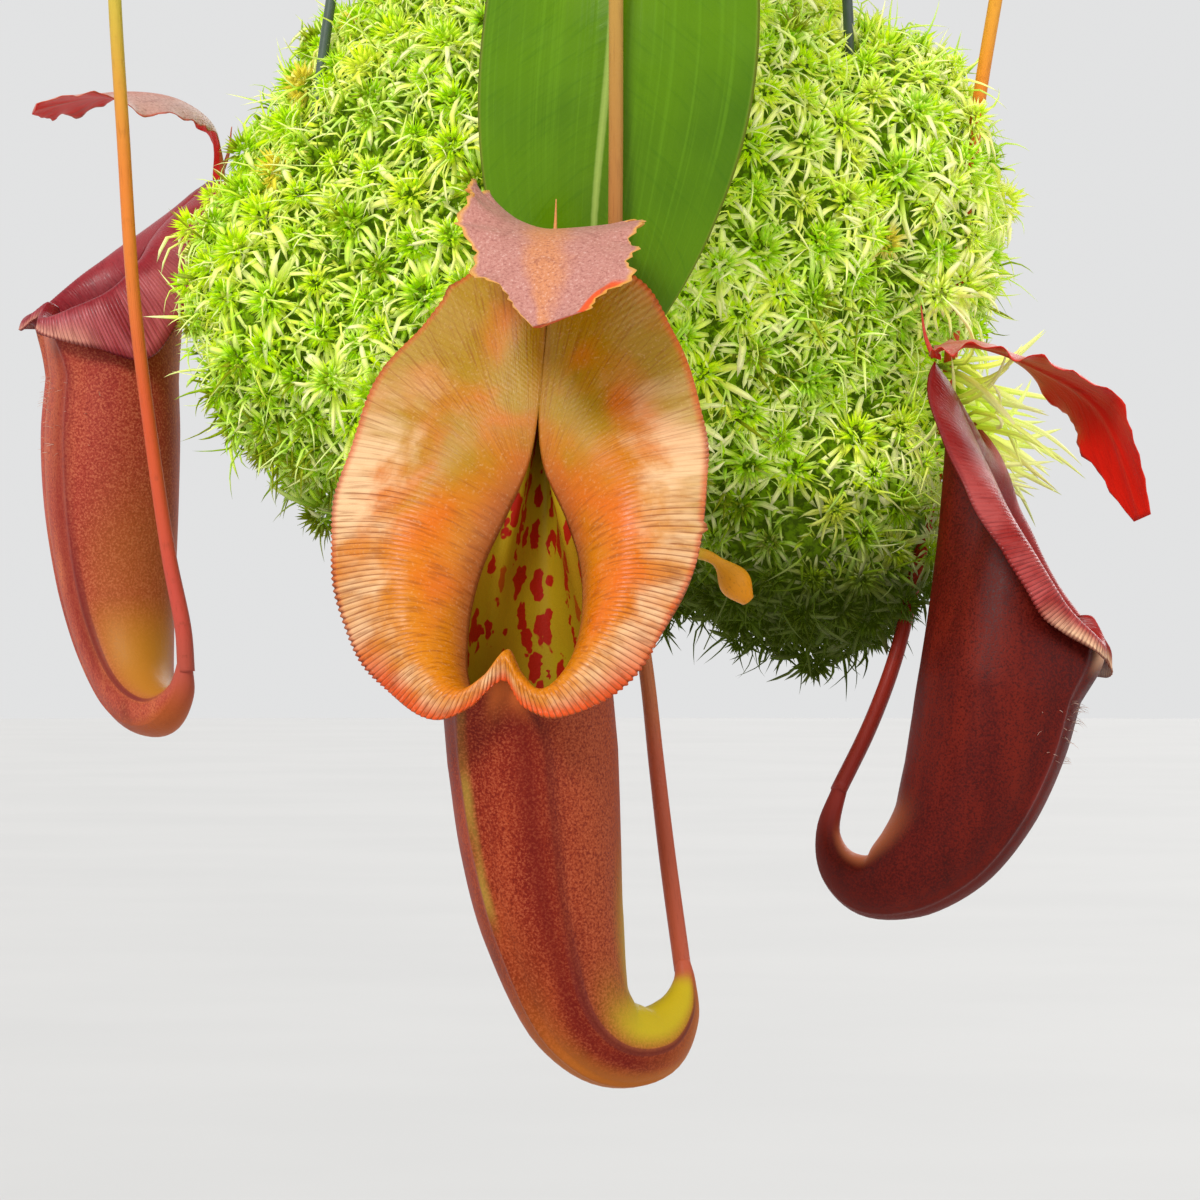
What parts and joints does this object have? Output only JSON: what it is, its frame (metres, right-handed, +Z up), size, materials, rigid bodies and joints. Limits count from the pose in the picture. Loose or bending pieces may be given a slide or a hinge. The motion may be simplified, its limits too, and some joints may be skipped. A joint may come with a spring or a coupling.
{
  "type": "hanging pitcher plant",
  "caption": "Tropical pitcher plant in a moss-grown wire basket on a wire hanger, with leaves arching over and lidded pitchers hanging on long tendrils.",
  "frame": {"origin": "the hanging hook's bight, on its wire's centre line", "axes": "+Z up; the front, which the middle pitcher faces, is towards -Y; +X to the right seen from the front"},
  "size_m": [0.2663, 0.2872, 0.5819],
  "materials": {
    "coated_wire": "dark grey-green plastic coating, satin",
    "growing_medium": "damp bark and long moss fibre, rough",
    "stem": "green-brown woody stem, slightly glossy",
    "leaf": "glossy green leaf, paler midrib",
    "moss": "live sphagnum, yellow-green heads over pale strands",
    "cup_centre": "brick red, finely speckled and downy",
    "peristome_centre": "ribbed, orange to yellow-green, glossy",
    "lid_centre": "dusty mauve-pink, finely hairy",
    "cup_right": "dark red-brown, satin",
    "peristome_right": "ribbed maroon, pale cream front, glossy",
    "lid_right": "bright red below, mauve above",
    "cup_left": "mauve-red with tan shading, satin",
    "peristome_left": "ribbed maroon, glossy",
    "lid_left": "greyish pink above, red below"
  },
  "bodies": {
    "root": {"hanger_hook": "coated_wire", "hanger_wire_left": "coated_wire", "hanger_wire_right": "coated_wire", "hanger_wire_back": "coated_wire", "basket": "coated_wire", "growing_medium": "growing_medium", "stem": "stem", "leaf_centre": "leaf", "leaf_left": "leaf", "leaf_right": "leaf", "leaf_front": "leaf", "leaf_back_left": "leaf", "leaf_back_right": "leaf", "leaf_upper": "leaf", "moss": "moss", "cup_centre": "cup_centre", "peristome_centre": "peristome_centre", "lid_centre": "lid_centre", "cup_right": "cup_right", "peristome_right": "peristome_right", "lid_right": "lid_right", "cup_left": "cup_left", "peristome_left": "peristome_left", "lid_left": "lid_left"}
  },
  "joints": []
}
